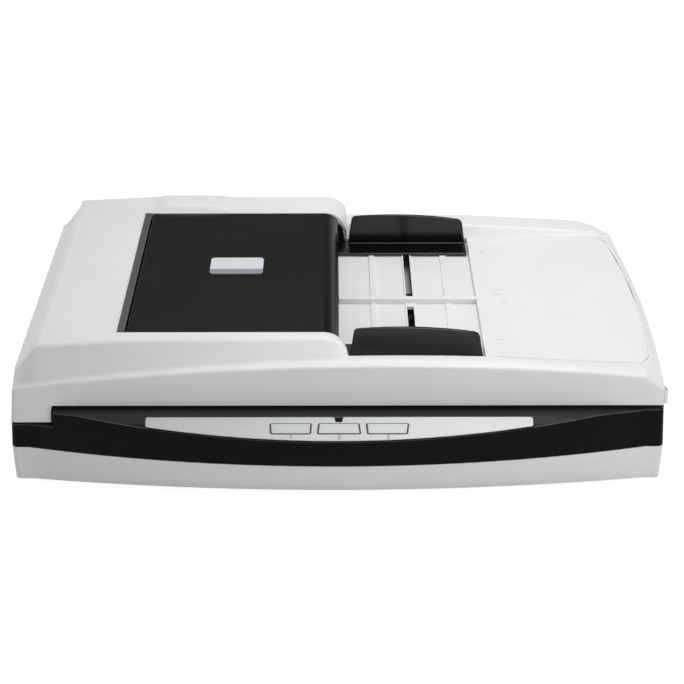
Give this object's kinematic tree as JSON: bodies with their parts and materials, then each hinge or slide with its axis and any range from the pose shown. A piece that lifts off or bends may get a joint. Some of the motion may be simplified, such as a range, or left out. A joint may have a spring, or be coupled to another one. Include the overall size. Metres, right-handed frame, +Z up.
{
  "type": "document scanner",
  "caption": "Flatbed document scanner with a hinged lid that holds an automatic sheet feeder, a tray with sliding guides and a sloped row of buttons.",
  "frame": {"origin": "on the ground under the middle of the case", "axes": "+X to the right of the person at the control panel, +Y towards the back, +Z up"},
  "size_m": [0.4996, 0.3465, 0.121],
  "materials": {
    "pale_plastic": "fine satin texture",
    "black_plastic": "satin",
    "gloss_black": "polished",
    "silver_paint": "satin metallic paint",
    "grey_plastic": "satin",
    "dark_plastic": "moulded",
    "white_plastic": "moulded",
    "gear_plastic": "slick, unpainted",
    "clear_glass": "polished float glass",
    "green_window": "clear light pipe",
    "white_foam": "foam under a smooth white film",
    "dark_rubber": "matt",
    "roller_rubber": "ground matt",
    "steel": "plated",
    "board_green": "lacquered circuit board",
    "motor_steel": "drawn can"
  },
  "bodies": {
    "base": {"lower_housing": "pale_plastic", "rubber_feet": "dark_rubber", "case_screws": "steel", "upper_frame": "black_plastic", "flatbed_glass": "clear_glass", "strip_glass": "clear_glass", "control_panel": "silver_paint", "led_window": "green_window", "button_board": "board_green", "switch_bezel": "grey_plastic", "main_board": "board_green", "usb_socket": "steel", "power_jack": "dark_plastic", "guide_rod": "steel", "drive_belt": "dark_rubber", "scan_motor": "motor_steel"},
    "left_button": {"button_left": "silver_paint"},
    "middle_button": {"button_middle": "silver_paint"},
    "right_button": {"button_right": "silver_paint"},
    "rocker": {"power_rocker": "grey_plastic"},
    "carriage": {"carriage_housing": "dark_plastic", "sensor_bar": "white_plastic"},
    "belt_drive": {"drive_pulley": "gear_plastic"},
    "belt_idler": {"idler_pulley": "gear_plastic"},
    "motor_pinion": {"scan_pinion": "gear_plastic"},
    "posts": {"hinge_posts": "dark_plastic", "hinge_pins": "steel"},
    "lid": {"lid_top_shell": "pale_plastic", "hinge_leaves": "steel", "lid_liner": "dark_plastic", "lid_screws": "steel", "document_pad": "white_foam", "lid_bumpers": "dark_rubber", "feeder_tray": "pale_plastic", "rack_retainer": "dark_plastic", "feeder_frame": "dark_plastic", "turn_chute": "dark_plastic", "background_plate": "white_plastic", "separation_pad": "roller_rubber", "feeder_motor": "motor_steel", "cover_trim": "gloss_black"},
    "cover": {"adf_cover": "gloss_black", "cover_plaque": "gloss_black"},
    "back_guide": {"rear_guide": "black_plastic"},
    "near_guide": {"front_guide": "black_plastic"},
    "rack_pinion": {"guide_pinion": "gear_plastic"},
    "drive_roll": {"drive_shaft": "gear_plastic", "drive_rollers": "roller_rubber"},
    "pinch_roll": {"pinch_rollers": "dark_plastic"},
    "feed_roll": {"feed_shaft": "gear_plastic", "feed_roller": "roller_rubber"},
    "arm": {"pick_arm": "dark_plastic"},
    "pick_roll": {"pick_roller": "roller_rubber"},
    "exit_roll": {"exit_roller": "roller_rubber"},
    "exit_idler": {"exit_pinch": "dark_plastic"},
    "gear_left": {"idler_gear_left": "gear_plastic"},
    "gear_middle": {"idler_gear_middle": "gear_plastic"},
    "gear_right": {"idler_gear_right": "gear_plastic"},
    "motor_gear": {"feeder_motor_gear": "gear_plastic"},
    "flag": {"sensor_flag": "dark_plastic"}
  },
  "joints": [
    {"name": "left_button_press", "type": "slide", "parent": "base", "child": "left_button", "axis": [0, 0.4683, -0.8836], "range_m": [0, 0.0008], "stiffness_N_per_m": 900, "springref_m": -0.0008},
    {"name": "middle_button_press", "type": "slide", "parent": "base", "child": "middle_button", "axis": [0, 0.4683, -0.8836], "range_m": [0, 0.0008], "stiffness_N_per_m": 900, "springref_m": -0.0008},
    {"name": "right_button_press", "type": "slide", "parent": "base", "child": "right_button", "axis": [0, 0.4683, -0.8836], "range_m": [0, 0.0008], "stiffness_N_per_m": 900, "springref_m": -0.0008},
    {"name": "rocker_tilt", "type": "hinge", "parent": "base", "child": "rocker", "pos_m": [0.2464, -0.10875, 0.058], "axis": [0, 0, -1], "range_deg": [0, 14]},
    {"name": "carriage_travel", "type": "slide", "parent": "base", "child": "carriage", "axis": [1, 0, 0], "range_m": [0, 0.353]},
    {"name": "belt_drive_turn", "type": "hinge", "parent": "base", "child": "belt_drive", "pos_m": [-0.222, -0.03, 0.02], "axis": [0, 0, 1], "range_deg": [-3070, 0]},
    {"name": "belt_idler_turn", "type": "hinge", "parent": "base", "child": "belt_idler", "pos_m": [0.222, -0.03, 0.02], "axis": [0, 0, 1], "range_deg": [-3070, 0]},
    {"name": "motor_pinion_turn", "type": "hinge", "parent": "base", "child": "motor_pinion", "pos_m": [-0.222, -0.053, 0.02], "axis": [0, 0, 1], "range_deg": [0, 11040]},
    {"name": "lid_lift", "type": "slide", "parent": "base", "child": "posts", "axis": [0, 0, 1], "range_m": [0, 0.02]},
    {"name": "lid_hinge", "type": "hinge", "parent": "posts", "child": "lid", "pos_m": [0, 0.1665, 0.076], "axis": [-1, 0, 0], "range_deg": [0, 80]},
    {"name": "cover_hinge", "type": "hinge", "parent": "lid", "child": "cover", "pos_m": [-0.159, 0.00625, 0.113], "axis": [0, -1, 0], "range_deg": [0, 80]},
    {"name": "back_guide_slide", "type": "slide", "parent": "lid", "child": "back_guide", "axis": [0, -1, 0], "range_m": [0, 0.07]},
    {"name": "near_guide_slide", "type": "slide", "parent": "lid", "child": "near_guide", "axis": [0, 1, 0], "range_m": [0, 0.07]},
    {"name": "rack_pinion_turn", "type": "hinge", "parent": "lid", "child": "rack_pinion", "pos_m": [0.0593, 0.00625, 0.082], "axis": [0, 0, 1], "range_deg": [-574, 0]},
    {"name": "drive_roll_turn", "type": "hinge", "parent": "lid", "child": "drive_roll", "pos_m": [-0.196, 0.00625, 0.077], "axis": [0, 1, 0], "continuous": true},
    {"name": "pinch_roll_turn", "type": "hinge", "parent": "lid", "child": "pinch_roll", "pos_m": [-0.1923, 0.00625, 0.09095], "axis": [0, 1, 0], "continuous": true},
    {"name": "feed_roll_turn", "type": "hinge", "parent": "lid", "child": "feed_roll", "pos_m": [-0.075, 0.00625, 0.097], "axis": [0, 1, 0], "continuous": true},
    {"name": "arm_lift", "type": "hinge", "parent": "lid", "child": "arm", "pos_m": [-0.075, 0.00625, 0.097], "axis": [0, -1, 0], "range_deg": [0, 8]},
    {"name": "pick_roll_turn", "type": "hinge", "parent": "arm", "child": "pick_roll", "pos_m": [-0.032, 0.00625, 0.0952], "axis": [0, 1, 0], "continuous": true},
    {"name": "exit_roll_turn", "type": "hinge", "parent": "lid", "child": "exit_roll", "pos_m": [-0.06267, 0.00625, 0.08], "axis": [0, 1, 0], "continuous": true},
    {"name": "exit_idler_turn", "type": "hinge", "parent": "lid", "child": "exit_idler", "pos_m": [-0.06267, 0.00625, 0.073], "axis": [0, 1, 0], "continuous": true},
    {"name": "gear_left_turn", "type": "hinge", "parent": "lid", "child": "gear_left", "pos_m": [-0.17519, 0.1273, 0.08791], "axis": [0, 1, 0], "continuous": true},
    {"name": "gear_middle_turn", "type": "hinge", "parent": "lid", "child": "gear_middle", "pos_m": [-0.1475, 0.1273, 0.09211], "axis": [0, 1, 0], "continuous": true},
    {"name": "gear_right_turn", "type": "hinge", "parent": "lid", "child": "gear_right", "pos_m": [-0.10585, 0.1273, 0.09397], "axis": [0, 1, 0], "continuous": true},
    {"name": "motor_gear_turn", "type": "hinge", "parent": "lid", "child": "motor_gear", "pos_m": [-0.1283, 0.1273, 0.0955], "axis": [0, 1, 0], "continuous": true},
    {"name": "flag_tilt", "type": "hinge", "parent": "lid", "child": "flag", "pos_m": [-0.05, 0.04625, 0.0813], "axis": [0, -1, 0], "range_deg": [0, 60], "stiffness_Nm_per_rad": 0.0003, "springref_deg": -17.19}
  ],
  "couplings": [
    {"joint": "belt_drive_turn", "follows": "carriage_travel", "rad_per_m": -151.52},
    {"joint": "belt_idler_turn", "follows": "carriage_travel", "rad_per_m": -151.52},
    {"joint": "motor_pinion_turn", "follows": "carriage_travel", "rad_per_m": 545.45},
    {"joint": "near_guide_slide", "follows": "back_guide_slide", "ratio": 1},
    {"joint": "rack_pinion_turn", "follows": "back_guide_slide", "rad_per_m": -142.86},
    {"joint": "pinch_roll_turn", "follows": "drive_roll_turn", "ratio": -2.5},
    {"joint": "feed_roll_turn", "follows": "drive_roll_turn", "ratio": -0.67857},
    {"joint": "pick_roll_turn", "follows": "drive_roll_turn", "ratio": -0.67857},
    {"joint": "exit_roll_turn", "follows": "drive_roll_turn", "ratio": 1.3571},
    {"joint": "exit_idler_turn", "follows": "drive_roll_turn", "ratio": -2.4315},
    {"joint": "gear_left_turn", "follows": "drive_roll_turn", "ratio": -0.67857},
    {"joint": "gear_middle_turn", "follows": "drive_roll_turn", "ratio": 0.67857},
    {"joint": "gear_right_turn", "follows": "drive_roll_turn", "ratio": 0.55882},
    {"joint": "motor_gear_turn", "follows": "drive_roll_turn", "ratio": -1.7273}
  ]
}
